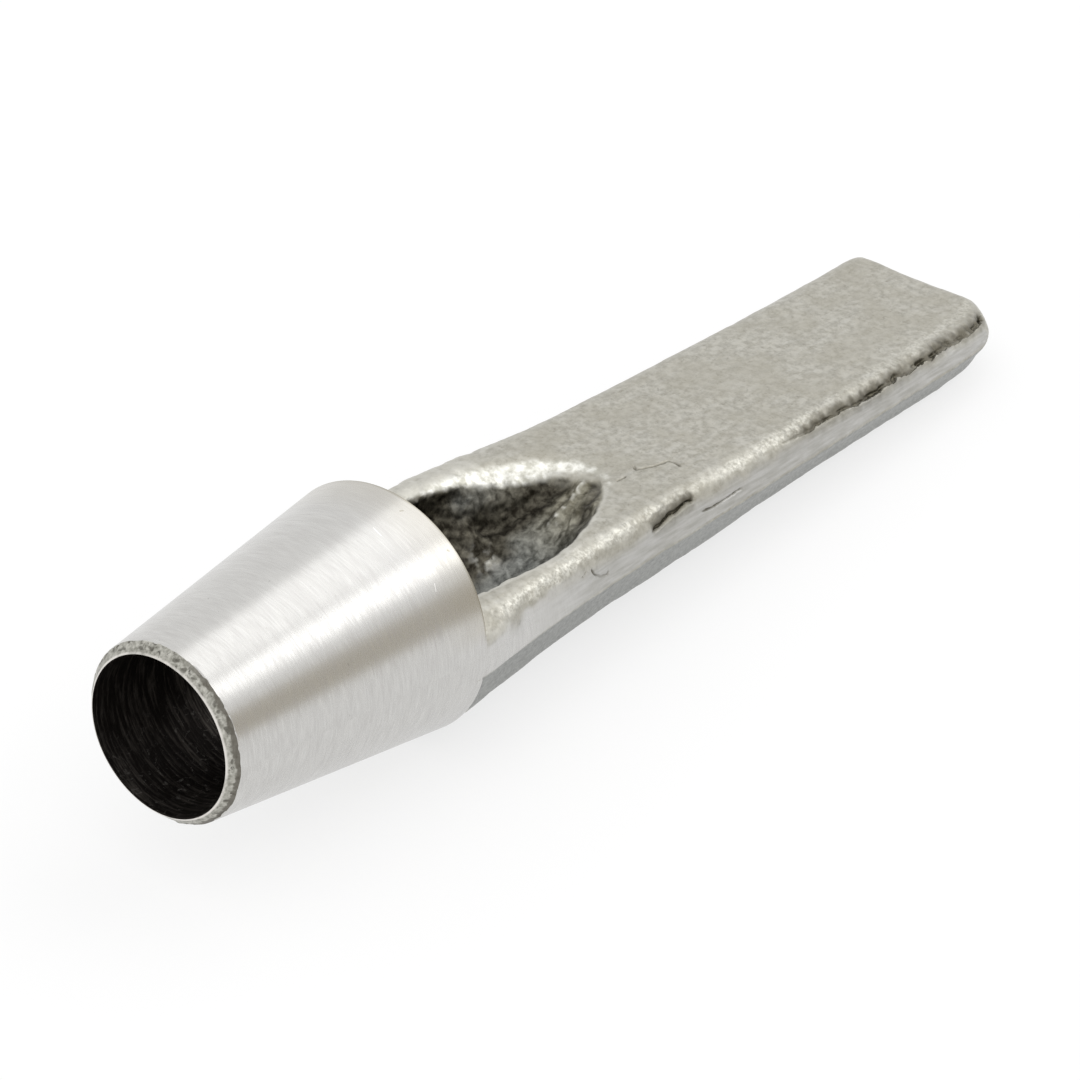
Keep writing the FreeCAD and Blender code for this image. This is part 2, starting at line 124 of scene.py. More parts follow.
lip = (0.0, MOUTH_RADIUS + EDGE_FLAT)
bevel_back = (BEVEL_DEPTH, BEVEL_RADIUS)
cone_start = (BEVEL_DEPTH + 1, BEVEL_RADIUS + CONE_RISE)
rim_front = (RIM_AT - RIM_BREAK, RIM_RADIUS)
rim_back = (RIM_AT, RIM_RADIUS - RIM_BREAK)
bore_end = (RIM_AT, RELIEF_RADIUS)
relief_start = (LAND_DEPTH, RELIEF_RADIUS)
land_end = (LAND_DEPTH, MOUTH_RADIUS)
profile = (
    run((0.0, MOUTH_RADIUS), lip, 0.05) + run(lip, bevel_back, 0.1) + run(bevel_back, cone_start, 0.1)
    + run(cone_start, rim_front, 0.4) + run(rim_front, rim_back, 0.1) + run(rim_back, bore_end, 0.4)
    + run(bore_end, relief_start, 0.5) + run(relief_start, land_end, 0.2)
    + run(land_end, (0.0, MOUTH_RADIUS), 0.5)
)
turns = np.linspace(0, 2 * math.pi, ROUND_STEPS, endpoint=False)
rings = np.array(profile)
head_points = np.zeros((len(rings), ROUND_STEPS, 3))
head_points[..., 0] = rings[:, 0, None]
head_points[..., 1] = rings[:, 1, None] * np.cos(turns)
head_points[..., 2] = rings[:, 1, None] * np.sin(turns)
head_points = head_points.reshape(-1, 3)
radius = np.hypot(head_points[:, 1], head_points[:, 2])

# Over the last few millimetres beside the arms the cone bends level, to meet them without a step.
BEND_FROM, BEND_DROP = 33.0, 0.30
level_radius = BEVEL_RADIUS + CONE_RISE * (RIM_AT - BEVEL_DEPTH) - BEND_DROP
towards_rim = np.clip((head_points[:, 0] - BEND_FROM) / (RIM_AT - BEND_FROM), 0, 1)
bent = BEVEL_RADIUS + CONE_RISE * (head_points[:, 0] - BEVEL_DEPTH) - BEND_DROP * towards_rim ** 2
share = beside_arms(head_points) * (towards_rim > 0) * (radius > RIM_RADIUS - RIM_BREAK - 1)
skinwards = np.where((radius < RIM_RADIUS - RIM_BREAK - 0.01) & (head_points[:, 0] > RIM_AT - 0.01), 0, share)
head_points[:, 1:] *= (1 + skinwards * (bent / radius - 1))[:, None]

# The filed bevel. A short dark chamfer runs down to the cutting edge; it is filed by hand, so its back edge
# wanders and its face is pitted.
radius = np.hypot(head_points[:, 1], head_points[:, 2])
on_bevel = (radius > MOUTH_RADIUS + 0.02) & (head_points[:, 0] < BEVEL_DEPTH + 0.01)
filed = np.where(on_bevel, ramp(head_points[:, 0], 0.0, 0.5), 0.0)
pits = (
    ramp(lumps(head_points, 0.55, 3), 0.25, 0.75) * 0.10 + ramp(lumps(head_points, 1.3, 4), 0.1, 0.8) * 0.06
)
head_points[:, 1:] *= (1 - filed * pits / radius)[:, None]
bevel_pits = filed * ramp(lumps(head_points, 0.55, 3), 0.30, 0.60)
wander = np.where(on_bevel, ramp(head_points[:, 0], 0.7, BEVEL_DEPTH), 0.0)
head_points[:, 0] += wander * (0.10 * lumps(head_points, 1.6, 5) + 0.07 * lumps(head_points, 0.5, 6))

head_faces = []
for ring in range(len(rings)):
    after = (ring + 1) % len(rings)
    here = ring * ROUND_STEPS + np.arange(ROUND_STEPS)
    there = after * ROUND_STEPS + np.arange(ROUND_STEPS)
    head_faces.append(np.stack([here, there, np.roll(there, -1), np.roll(here, -1)], axis=1))
head_faces = np.concatenate(head_faces)

# The arms and the shank. They keep the skin that the dies gave them. Their mesh is the forging's own solid,
# gone over with a fine even net, so that the marks of the dies can be pressed into it.
NET = 0.00025
MARK_NET_CUTS = 2
solid = frame["nodes"]["punch_body"]
welded = bmesh.new()
welded.from_mesh(solid.data)
bmesh.ops.remove_doubles(welded, verts=welded.verts, dist=1e-6)
blank_mesh = bpy.data.meshes.new("forging_blank")
welded.to_mesh(blank_mesh)
welded.free()
blank = bpy.data.objects.new("forging_blank", blank_mesh)
bpy.context.scene.collection.objects.link(blank)
net = blank.modifiers.new("net", "REMESH")
net.mode = "VOXEL"
net.voxel_size = NET
wrap = blank.modifiers.new("wrap", "SHRINKWRAP")
wrap.target = solid
wrap.wrap_method = "NEAREST_SURFACEPOINT"
fine = bpy.data.meshes.new_from_object(blank.evaluated_get(bpy.context.evaluated_depsgraph_get()))
bpy.data.objects.remove(blank)

shank = bmesh.new()
shank.from_mesh(fine)
bpy.data.meshes.remove(fine)
skin_starts = RIM_AT + 0.2
cut_away = [v for v in shank.verts if (v.co - mouth).dot(along) * 1000 < skin_starts]
bmesh.ops.delete(shank, geom=cut_away, context="VERTS")

# Marks of the forging: laps where the metal folded over in the dies along the right shoulder, a short crack
# behind the throat and torn scars beside it. Each is (points along, across, up; width; depth; ridge above).
marks = (
    ([(74.5, -13.0, 0.2), (76.3, -12.8, 0.6), (78.3, -12.7, 0.9), (80.8, -12.6, 1.2), (83.6, -12.5, 1.3)],
     0.40, 0.30, 0.18),
    ([(84.3, -13.1, -0.9), (87.9, -13.1, -1.1), (90.7, -13.1, -0.9), (93.1, -13.1, -1.0)], 0.20, 0.24, 0),
    ([(100.3, -12.2, 1.5), (104.0, -12.4, 1.2), (107.4, -12.4, 1.1), (110.9, -12.4, 1.1), (115.2, -12.4, 1.1),
      (118.8, -12.6, 0.9), (122.9, -12.5, 0.9)], 0.28, 0.22, 0.18),
    ([(118.8, -12.6, 0.9), (122.9, -12.5, 0.9), (127.5, -12.3, 1.1), (131.2, -12.2, 1.0), (135.7, -12.2, 1.0),
      (139.7, -11.9, 1.1), (143.2, -12.0, 1.0), (146.6, -11.9, 1.0), (150.5, -11.0, 0.9)], 0.42, 0.40, 0.18),
    ([(78.6, -4.0, 2.4), (80.6, -4.2, 2.3)], 0.24, 0.20, 0),
    ([(83.6, -2.9, 2.3), (82.9, -4.2, 2.3), (84.7, -4.9, 2.3), (87.3, -5.6, 2.2), (87.5, -6.7, 2.2),
      (87.2, -7.8, 2.2)], 0.24, 0.26, 0),
    ([(62.2, -13.1, 0.8), (62.9, -13.3, -0.4), (63.7, -13.5, -1.2), (65.0, -13.5, -1.2), (65.4, -13.4, -0.6)],
     0.20, 0.20, 0),
    ([(60.0, -13.4, 0.2), (60.6, -13.3, 0.5), (61.1, -13.2, 0.9)], 0.18, 0.15, 0),
)
LAPS = (0, 2, 3)


def nearest(points, path):
    """Distance of each point from a bent line, how far along it the point lies from 0 to 1, and its height
    over the line."""
    best = np.full(len(points), 1e9)
    share = np.zeros(len(points))
    over = np.zeros(len(points))
    lengths = [math.dist(a, b) for a, b in zip(path, path[1:])]
    done = 0.0
    for start, stop, length in zip(path, path[1:], lengths):
        start, stop = np.array(start), np.array(stop)
        way = stop - start
        t = np.clip((points - start) @ way / (way @ way), 0, 1)
        apart = points - start - t[:, None] * way
        gap = np.linalg.norm(apart, axis=1)
        closer = gap < best
        best[closer] = gap[closer]
        over[closer] = apart[closer, 2]
        share[closer] = ((done + t * length) / sum(lengths))[closer]
        done += length
    return best, share, over


def points_of(mesh):
    return to_punch(np.array([v.co for v in mesh.verts]))


def normals_of(mesh, at):
    """Outward directions of the net when its points lie at the given places."""
    for v, place in zip(mesh.verts, to_bench(at)):
        v.co = place
    mesh.normal_update()
    return np.array([v.normal for v in mesh.verts]) @ directions.T


shank.verts.ensure_lookup_table()
before = points_of(shank)
close = np.zeros(len(before), bool)
for path, width, depth, ridge in marks:
    close |= nearest(before, path)[0] < 2.2 * width + 1.2
fine_verts = {v for v, near in zip(shank.verts, close) if near}
fine_edges = [e for e in shank.edges if e.verts[0] in fine_verts and e.verts[1] in fine_verts]
bmesh.ops.subdivide_edges(shank, edges=fine_edges, cuts=MARK_NET_CUTS, use_grid_fill=True)
shank.verts.ensure_lookup_table()
shank.verts.index_update()

points = points_of(shank)
pairs = np.array([(e.verts[0].index, e.verts[1].index) for e in shank.edges])
neighbours = np.bincount(pairs.ravel(), minlength=len(points)).astype(float)


def spread(values):
    """Mean over each point's neighbours in the net."""
    total = np.zeros_like(values)
    np.add.at(total, pairs[:, 0], values[pairs[:, 1]])
    np.add.at(total, pairs[:, 1], values[pairs[:, 0]])
    return total / (neighbours if values.ndim == 1 else neighbours[:, None])


# The slug throat. The bore's channel climbs out through the top; its left lip and its tip are dressed to a
# broad soft round, polished and given a painted highlight in the finish, its right lip stays crisp and closes
# in a little towards the tip.
THROAT_START, THROAT_BEND, THROAT_CLIMB = 46.0, 24.0, math.radians(28.0)
TOP_HEIGHT, TOP_FALL, ARM_RISE, WAIST_AT, SHANK_RUN = 3.1, 2.1, 0.9, 80.0, 116.0


def top_at(x):
    """Height of the top face above the axis; beside the throat it curves up towards the rim."""
    rise_radius = (WAIST_AT - RIM_AT) ** 2 / (2 * ARM_RISE)
    rise = rise_radius - np.sqrt(rise_radius ** 2 - np.clip(WAIST_AT - x, 0, None) ** 2)
    return TOP_HEIGHT - (x - RIM_AT) * TOP_FALL / SHANK_RUN + rise


def channel_axis(points):
    """The nearest point of the channel's bent axis, for each of the points."""
    x, _, z = points.T
    turned = np.clip(np.arctan2(x - THROAT_START, THROAT_BEND - z), 0, THROAT_CLIMB)
    axis_x = np.where(x < THROAT_START, x, THROAT_START + THROAT_BEND * np.sin(turned))
    axis_z = np.where(x < THROAT_START, 0.0, THROAT_BEND * (1 - np.cos(turned)))
    beyond = (x - THROAT_START - THROAT_BEND * math.sin(THROAT_CLIMB)) * math.cos(THROAT_CLIMB) + (
        z - THROAT_BEND * (1 - math.cos(THROAT_CLIMB))) * math.sin(THROAT_CLIMB)
    beyond = np.where(turned >= THROAT_CLIMB - 1e-9, np.clip(beyond, 0, None), 0)
    axis_x = axis_x + beyond * math.cos(THROAT_CLIMB)
    axis_z = axis_z + beyond * math.sin(THROAT_CLIMB)
    return np.stack([axis_x, np.zeros(len(x)), axis_z], axis=1)


def lip_round(points):
    """Size of the rounding of the throat's lip: broad on the left and at the tip, crisp on the right."""
    x, y, _ = points.T
    left = np.interp(x, (40, 58, 63, 67, 71, 78, 82), (0.7, 0.8, 1.2, 2.0, 2.5, 2.5, 2.2))
    right = np.interp(x, (40, 74, 78, 81), (0.6, 0.6, 1.2, 2.2))
    return right + (left - right) * ramp(y, -3.5, 1.5)


on_lip = np.zeros(len(points))
for _ in range(3):
    to_axis = channel_axis(points) - points
    from_axis = np.linalg.norm(to_axis, axis=1)
    above_top = points[:, 2] - top_at(points[:, 0])
    into_wall = RELIEF_RADIUS - from_axis
    size = lip_round(points)
    overlap = np.clip(size - np.abs(above_top - into_wall), 0, None) / size
    outside = np.maximum(above_top, into_wall) + overlap ** 2 * size / 4
    wall_share = np.clip(0.5 + 0.5 * (into_wall - above_top) / size, 0, 1)[:, None]
    way_out = (1 - wall_share) * np.array([0, 0, 1]) + wall_share * to_axis / from_axis[:, None]
    way_out /= (way_out ** 2).sum(axis=1)[:, None]
    at_throat = ramp(points[:, 0], 41.0, 43.0) * (points[:, 0] < 88)
    near_corner = (
        (np.maximum(above_top, into_wall) > -0.5) & (np.abs(above_top) < 1.3) & (np.abs(into_wall) < 1.3)
    )
    moved = np.where(near_corner, outside, np.clip(outside, 0, None)) * at_throat
    points -= way_out * moved[:, None]
    on_lip = np.maximum(on_lip, overlap * at_throat)

to_axis = channel_axis(points) - points
from_axis = np.linalg.norm(to_axis, axis=1)
depth_in = top_at(points[:, 0]) - points[:, 2]
in_throat = (1 - ramp(from_axis, RELIEF_RADIUS + 0.05, RELIEF_RADIUS + 0.35)) * (points[:, 0] < 90)
x, y, z = points.T
closing = np.interp(x, (56, 64, 73, 78, 80), (0, 0.9, 1.3, 0.9, 0)) * ramp(-y, 1.0, 4.0)
closing *= (1 - ramp(depth_in, 2.0, 7.0)) * (1 - ramp(from_axis, RELIEF_RADIUS + 0.3, RELIEF_RADIUS + 2.5))
points[:, 1] += closing

# In the throat's end the punch that pierced it left a ridge down the middle, with a pocket to the left of it
# and a shallower one to the right.
ridge_gap, ridge_share, _ = nearest(
    points, [(78.6, 0.2, 2.3), (76.6, -0.3, 1.2), (73.5, -0.9, -0.5), (68.9, -0.9, -2.8)]
)
pocket_gap, _, _ = nearest(
    points, [(76.0, 2.2, 0.9), (73.4, 2.6, -0.2), (69.9, 3.4, -1.6), (65.5, 5.5, -2.6)]
)
groove_gap, _, _ = nearest(
    points, [(78.6, -1.6, 2.3), (77.0, -2.8, 1.9), (74.5, -4.0, 1.0), (71.0, -5.0, -0.3)]
)
ridge = np.exp(-(ridge_gap / 0.95) ** 2) * (1 - ramp(ridge_share, 0.75, 1.0)) * in_throat
pocket = np.exp(-(pocket_gap / 1.4) ** 2) * in_throat
groove = np.exp(-(groove_gap / 1.1) ** 2) * in_throat
inwards = (channel_axis(points) - points) / from_axis[:, None]
points += inwards * (0.7 * ridge - 1.1 * pocket - 0.5 * groove)[:, None]

# The dies close in towards the struck end: the flanks lean in more above the parting line, most on the left,
# and the left arm is a little fuller beside the throat.
PARTING_DROP, PARTING_RISE = 3.2, 1.8
x, y, z = points.T
parting = -PARTING_DROP + (x - RIM_AT) * PARTING_RISE / SHANK_RUN
up_flank = np.clip((z - parting) / (top_at(x) - parting), 0, 1)
outer = ramp((np.abs(y) - np.interp(x, (72, 86), (10.4, 5.0))) / np.interp(x, (72, 86), (2.2, 7.0)), 0.0, 1.0)
lean_right = np.interp(x, (42, 60, 75, 90, 155), (0.0, -0.1, -0.5, -0.7, -0.7))
lean_left = sum(
    np.interp(
        x + apart, (42, 52, 60, 65, 70, 75, 80, 90, 100, 110, 120, 130, 148, 155),
        (0.3, 1.2, 2.0, 2.5, 2.3, 1.5, 0.6, 0.15, -0.35, -0.55, -0.7, -1.2, -1.0, -0.3),
    ) for apart in (-4, -2, 0, 2, 4)
) / 5
at_parting = np.interp(x, (42, 60, 80, 140, 150, 155), (0.0, 0.1, 0.35, 0.45, 0.0, 0.0))
at_parting += np.interp(x, (50, 60, 70, 80, 90), (0.0, 0.8, 0.9, 0.2, 0.0)) * (y > 0)
lean = np.where(y > 0, lean_left, lean_right)
sideways = outer * (up_flank * lean + (1 - up_flank) * at_parting * (1 - ramp(parting - z, 0, 4)))
points[:, 1] += np.sign(y) * sideways
heel_lift = np.interp(x, (50, 62, 80, 90, 100, 120, 140, 150), (0.05, 0.2, -0.1, 0.05, 0.4, 0.4, 0.2, 0.8))
points[:, 2] += heel_lift * ramp(-y, 7, 11) * ramp(parting - z, 0.3, 2.5)
end_run = np.interp(
    y, (-12, -10, -8, -6, -3, 0, 3, 6, 9, 11), (-0.3, -0.2, -0.15, 0.15, 0.1, -0.1, -0.25, 0, 0.4, 0.1)
)
points[:, 0] += end_run * ramp(x, 149, 153) * ramp(z, -2, 1)
fuller = np.interp(x, (42, 50, 60, 72), (0.0, 0.5, 0.5, 0.0)) * ramp(y, 9.5, 12.0) * up_flank
points[:, 2] += fuller

# Beside the rim the arms' outer sides are drawn out to the cone, which was ground together with them.
out_radius = np.hypot(points[:, 1], points[:, 2])
meets_cone = beside_arms(points) * (1 - ramp(points[:, 0], RIM_AT, RIM_AT + 11)) * (out_radius > 12.5)
points[:, 1:] *= (1 + meets_cone * ((level_radius - 0.01) / out_radius - 1))[:, None]

# The forged skin: broad waves and a finer grain, rubbed-off shoulders and a coarse torn skin in the throat.
normals = normals_of(shank, points)
x, y, z = points.T
smoothed = points.copy()
for _ in range(12):
    smoothed = spread(smoothed)
rubbed = (
    ramp(np.einsum("ij,ij->i", points - smoothed, normals), 0.02, 0.12) * ramp(np.abs(z - parting), 0.3, 1.2)
)
# A lightly worn strip runs along the right shoulder; the finish paints a highlight along it as well.
shoulder_gap, _, _ = nearest(points, [
    (45, -13.6, 2.8), (51, -13.2, 2.6), (59, -12.7, 2.5), (66, -12.1, 2.5), (73, -11.9, 2.4),
    (97, -11.8, 1.9), (105, -11.3, 1.8), (114, -10.5, 1.7), (122, -10.4, 1.6), (130, -9.8, 1.5),
    (138, -9.3, 1.4), (146, -8.8, 1.3), (150.2, -8.2, 1.2), (152.5, -7.2, 1.1),
])
wear_and_highlight = 1 - ramp(shoulder_gap + 0.5 * lumps(points, 1.5, 17) + 0.35 * lumps(points, 0.6, 18), 0.2, 1.3)
wear_and_highlight *= np.interp(x, (44, 60, 66, 108, 114, 155), (1.0, 1.0, 0.8, 0.8, 0.4, 0.4))
free = ramp(x, RIM_AT + 0.2, RIM_AT + 3)
underside = 1 - ramp(z, -9.0, -4.0)
inner = in_throat * (1 - 0.8 * on_lip)
skin = 0.06 * lumps(points, 7.0, 1) + 0.04 * lumps(points, 2.4, 2) + 0.02 * lumps(points, 0.9, 7)
height = free * skin * (1 - inner)
height -= free * rubbed * (0.08 + 0.14 * lumps(points, 1.7, 8) + 0.08 * lumps(points, 0.7, 9)).clip(0, None)
height += inner * free * (
    0.34 * lumps(points, 3.1, 10) + 0.20 * lumps(points, 1.2, 11) + 0.10 * lumps(points, 0.5, 12)
)
pitted = ramp(lumps(points, 0.8, 13), 0.55, 0.85) * ramp(lumps(points, 6.0, 14), 0.0, 0.6)
height -= free * 0.05 * pitted
height += free * wear_and_highlight * (0.05 * lumps(points, 1.1, 19) + 0.05 * lumps(points, 0.55, 27))
torn = np.exp(-(nearest(points, [(43.4, -13.9, 2.4), (46.5, -14.1, 0.8)])[0] / 1.3) ** 2)
height += torn * (0.16 * lumps(points, 1.0, 15) + 0.14 * lumps(points, 0.45, 16) - 0.08)

# The folds themselves, ragged in depth and width, each lap with a low ridge above it.
hollow = np.zeros(len(points))
painted_lap_shade = np.zeros(len(points))
for number, (path, width, depth, ridge_height) in enumerate(marks):
    if number in LAPS:
        deeper = [float(np.interp(px, (75, 90, 118, 132), (0.4, 0.7, 0.9, 1.1))) for px, _, _ in path]
        path = [(px + 0.7 * d, py + 0.4 * d, pz - 0.5 * d) for (px, py, pz), d in zip(path, deeper)]
    ragged = points + max(0.18, 0.5 * width) * np.stack(
        [lumps(points, 1.1, 20 + number + k) for k in (0, 7, 14)], axis=1
    )
    ragged += 0.06 * np.stack([lumps(points, 0.35, 60 + number + k) for k in (0, 7, 14)], axis=1)
    gap, share, over = nearest(ragged, path)
    start_fade = 0.5 if number == 2 else 0.12
    ends = ramp(share, 0.0, start_fade) * (1 if number == 3 else 1 - ramp(share, 0.9, 1.0))
    uneven = 0.75 + 0.35 * lumps(points, 2.0, 30 + number) + 0.2 * lumps(points, 0.6, 40 + number)
    cut = ends * uneven.clip(0.2, 1.2) * (1 - ramp(gap, 0.35 * width, 1.25 * width))
    height -= depth * cut
    # Painted shade: the folds, the crack and the scars are coloured dark where they cut in.
    hollow = np.maximum(hollow, cut * min(1.0, depth / 0.25))
    if number in LAPS:
        rolled = ends * uneven.clip(0.3, 1.2) * (over > 0)
        height -= 1.3 * depth * rolled * (1 - ramp(gap, 0.0, 2.1))
        height += ridge_height * depth * ends * np.exp(-((gap - 0.6) / 0.35) ** 2) * (over < 0)
        # Painted shade: a dark band above each lap, where the rolled-over metal turns down into the fold, and
        # a fainter one just under the fold line.
        lap_shade_fade = 1 - ramp(gap + 0.4 * lumps(points, 0.8, 70 + number), 0.2, 2.1)
        under = 0.35 * ends * (1 - ramp(gap + 0.3 * lumps(points, 0.8, 75 + number), 0.5, 1.6))
        painted_lap_shade = np.maximum(painted_lap_shade, np.maximum((2.2 * rolled).clip(0, 1) * lap_shade_fade, under))
near_end = ramp(x, 153.5, 154.8)
height = np.where(height > 0, height * (1 - near_end) * (1 - underside), height)
points += normals * (height * ramp(x, RIM_AT + 0.2, RIM_AT + 1.0))[:, None]

# Where the skin runs under the head's rim it is closed against it, just inside the cone.
border = np.array([v.is_boundary for v in shank.verts])
in_wall = np.hypot(points[:, 1], points[:, 2]) > RELIEF_RADIUS + 0.15
points[border & in_wall, 0] = RIM_AT - 0.5
points[border & in_wall, 1:] *= 0.99
points[border & ~in_wall, 0] = RIM_AT

# What the finishes need to know: where the grinding fades out on the arms, how dark the throat is, with
# painted shade in its pockets, its groove and along its near wall, where its lip is polished and carries a
# painted highlight, and what lies under the parting line, which is painted darker as shade.
x, y, z = points.T
ground = beside_arms(points) * ramp(np.abs(y), 12.0, 13.5)
ground *= 1 - ramp(x + 2.0 * lumps(points, 3.0, 50), 45.0, 68.0)
ground = np.maximum(
    ground, (1 - ramp(x + 0.4 * lumps(points, 1.0, 51), 42.2, 43.4)) * (out_radius > 13.4) * (z > parting)
)
ground *= (1 - 0.9 * torn) * (1 - ramp(z + 0.4 * lumps(points, 1.2, 54), 0.8, 1.6))
wall_light = np.exp(-(nearest(points, [(64.5, 9.2, 0.0), (71.0, 7.2, 0.0)])[0] / 1.7) ** 2)
# The throat is coloured dark, more so towards its far wall and less in one patch on it; painted shade darkens
# it further along the near wall under the lip, in the pocket and in the groove.
throat_darkness = 0.3 + 0.7 * ramp(y + 1.3 * lumps(points, 2.2, 52), 0.5, 3.0)
throat_darkness = np.maximum(throat_darkness * (1 - 0.45 * wall_light), ramp(-y - 0.6 * lumps(points, 1.5, 55), 5.5, 7.5) * 0.7)
in_pocket = 1 - ramp(pocket_gap + 0.5 * lumps(points, 1.2, 61), 0.9, 2.4)
in_groove = 1 - ramp(groove_gap + 0.5 * lumps(points, 1.2, 63), 0.8, 2.2)
throat_darkness = np.maximum(throat_darkness, np.maximum(in_pocket, 0.85 * in_groove)) * in_throat
flecks = np.exp(-(nearest(points, [(63.2, 3.6, -5.2), (62.8, 3.0, -5.4)])[0] / 1.5) ** 2)
flecks = np.maximum(
    flecks, 0.8 * np.exp(-(nearest(points, [(58.0, -6.4, -6.4), (60.5, -5.2, -6.6)])[0] / 1.2) ** 2)
)
flecks *= ramp(lumps(points, 1.1, 56) + 0.5 * lumps(points, 0.45, 66), 0.0, 0.45) * in_throat
# The dressed left lip and the tip are polished, and a painted highlight runs along them; painted glints on
# the ridge's crest and pale flecks on the floor join it.
band_gap, band_share, _ = nearest(points, [
    (46, 10.0, 3.5), (54, 10.4, 3.0), (61, 10.5, 2.65), (64.5, 10.2, 2.5), (66.2, 9.8, 2.3),
    (68, 9.2, 1.9), (70.2, 8.0, 1.7), (73.0, 6.5, 1.7), (76.2, 4.6, 1.8), (78.6, 2.3, 2.0),
    (79.5, 0.2, 2.2), (79.2, -1.8, 2.3), (77.6, -4.0, 2.4),
])
band_half = np.interp(
    band_share, (0, 0.36, 0.41, 0.47, 0.54, 0.72, 0.82, 0.9, 1.0),
    (0.25, 0.4, 0.6, 1.0, 1.4, 1.6, 1.3, 0.5, 0.2),
)
band_edge = band_gap - band_half + 0.25 * lumps(points, 1.0, 57) + 0.12 * lumps(points, 0.45, 58)
polish_and_highlight = (1 - ramp(band_edge, -0.7, 0.5)) * (1 - 0.8 * in_pocket)
# Painted highlight: glints on the crest of the ridge.
glint = ramp(ridge + 0.3 * lumps(points, 1.0, 59) + 0.25 * lumps(points, 0.5, 62), 0.4, 1.1)
polish_and_highlight = np.maximum(polish_and_highlight, 0.75 * glint * ramp(lumps(points, 0.7, 67), -0.1, 0.4))
polish_and_highlight = np.maximum(polish_and_highlight, 0.55 * flecks)
# Painted shade: the skin under the parting line faces down and is coloured darker.
below_parting_shade = 1 - ramp(z - parting, -0.25, -0.05)
flank = (
    ramp(z - parting, 0.0, 0.3) * (1 - ramp(z + 0.4 * lumps(points, 2.0, 53), -0.6, 0.9))
    * ramp(np.abs(y), 11.5, 12.5)
)

shank_faces = [[v.index for v in f.verts] for f in shank.faces]
shank.free()

# One mesh carries the whole forging: the head's rings first, then the net of the arms and the shank.
all_points = np.concatenate([head_points, points])
quads = head_faces.tolist() + [[i + len(head_points) for i in face] for face in shank_faces]
mesh = bpy.data.meshes.new("punch_body_dressed")
mesh.from_pydata(
    np.clip(to_bench(all_points), *np.array([list(corner) for corner in cad_box])).tolist(), [], quads
)
punch = bpy.data.objects.new("punch_body_dressed", mesh)
bpy.context.scene.collection.objects.link(punch)
for name, values in (
    ("hollow", hollow), ("rubbed", rubbed), ("in_throat", in_throat), ("throat_darkness", throat_darkness), ("polish_and_highlight", polish_and_highlight),
    ("ground", ground), ("below_parting_shade", below_parting_shade), ("wear_and_highlight", wear_and_highlight), ("painted_lap_shade", painted_lap_shade), ("flank", flank),
):
    attribute = mesh.attributes.new(name, "FLOAT", "POINT")
    whole = np.zeros(len(all_points), np.float32)
    whole[len(head_points):] = values
    if name == "ground":
        whole[:len(head_points)] = 1.0
    # The head's share is the filed bevel's pits, which carry the same painted shade.
    if name == "hollow":
        whole[:len(head_points)] = bevel_pits
    attribute.data.foreach_set("value", whole)
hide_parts("punch_body")
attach(punch, "root")


# Ground steel, on the cone: tool steel ground bright on a belt, in fine short streaks that run round it.
# The streaks put out only shades and heights, so that the arms can carry them too.
def new_group(name, inputs, outputs):
    group = bpy.data.node_groups.new(name, "ShaderNodeTree")
    for socket, kind, value in inputs:
        made = group.interface.new_socket(socket, in_out="INPUT", socket_type=kind)
        made.default_value = value
    for socket, kind in outputs:
        group.interface.new_socket(socket, in_out="OUTPUT", socket_type=kind)
    return group, group.nodes.new("NodeGroupInput"), group.nodes.new("NodeGroupOutput")


def put(tree, kind, values=None, links=None, **settings):
    """Add a node; values sets sockets by name or number, links joins other nodes' outputs to sockets."""
    node = tree.nodes.new(kind)
    for key, value in settings.items():
        setattr(node, key, value)
    for key, value in (values or {}).items():
        node.inputs[key].default_value = value
    for key, output in (links or {}).items():
        tree.links.new(output, node.inputs[key])
    return node


def math_node(tree, operation, first, second=None):
    node = tree.nodes.new("ShaderNodeMath")
    node.operation = operation
    for index, value in enumerate((first, second)):
        if value is None:
            continue
        if isinstance(value, (int, float)):
            node.inputs[index].default_value = value
        else:
            tree.links.new(value, node.inputs[index])
    return node.outputs[0]


def punch_place(tree):
    """Place on the punch: millimetres along, across and up, from the object's own coordinates."""
    where = tree.nodes.new("ShaderNodeTexCoord")
    moved = put(
        tree, "ShaderNodeMapping", {"Location": (-mouth.x, 0, -mouth.z)}, {"Vector": where.outputs["Object"]}
    )
    turned = put(
        tree, "ShaderNodeMapping", {"Rotation": (0, -math.atan2(-along.z, along.x), 0)},
        {"Vector": moved.outputs[0]},
    )
    scaled = put(
        tree, "ShaderNodeVectorMath", {1: (1000, 1000, 1000)}, {0: turned.outputs[0]}, operation="MULTIPLY"
    )
    return scaled.outputs[0]


def new_finish(name):
    finish = bpy.data.materials.new(name)
    finish.use_nodes = True
    tree = finish.node_tree
    tree.nodes.clear()
    out = tree.nodes.new("ShaderNodeOutputMaterial")
    shader = tree.nodes.new("ShaderNodeBsdfPrincipled")
    tree.links.new(shader.outputs[0], out.inputs["Surface"])
    return finish, tree, shader


def blend(tree, share, low, high):
    """A colour between low and high; each is a colour or another node's output."""
    node = tree.nodes.new("ShaderNodeMix")
    node.data_type = "RGBA"
    for socket, value in ((0, share), (6, low), (7, high)):
        if isinstance(value, (int, float)):
            node.inputs[socket].default_value = value
        elif isinstance(value, tuple):
            node.inputs[socket].default_value = (*value, 1)
        else:
            tree.links.new(value, node.inputs[socket])
    return node.outputs[2]


def group_node(tree, group, **values):
    node = tree.nodes.new("ShaderNodeGroup")
    node.node_tree = group
    for key, value in values.items():
        node.inputs[key.replace("_", " ")].default_value = value
    return node


def stretch(tree, value, low, high, to_low=0.0, to_high=1.0):
    node = put(
        tree, "ShaderNodeMapRange",
        {"From Min": low, "From Max": high, "To Min": to_low, "To Max": to_high}, {"Value": value},
    )
    return node.outputs["Result"]


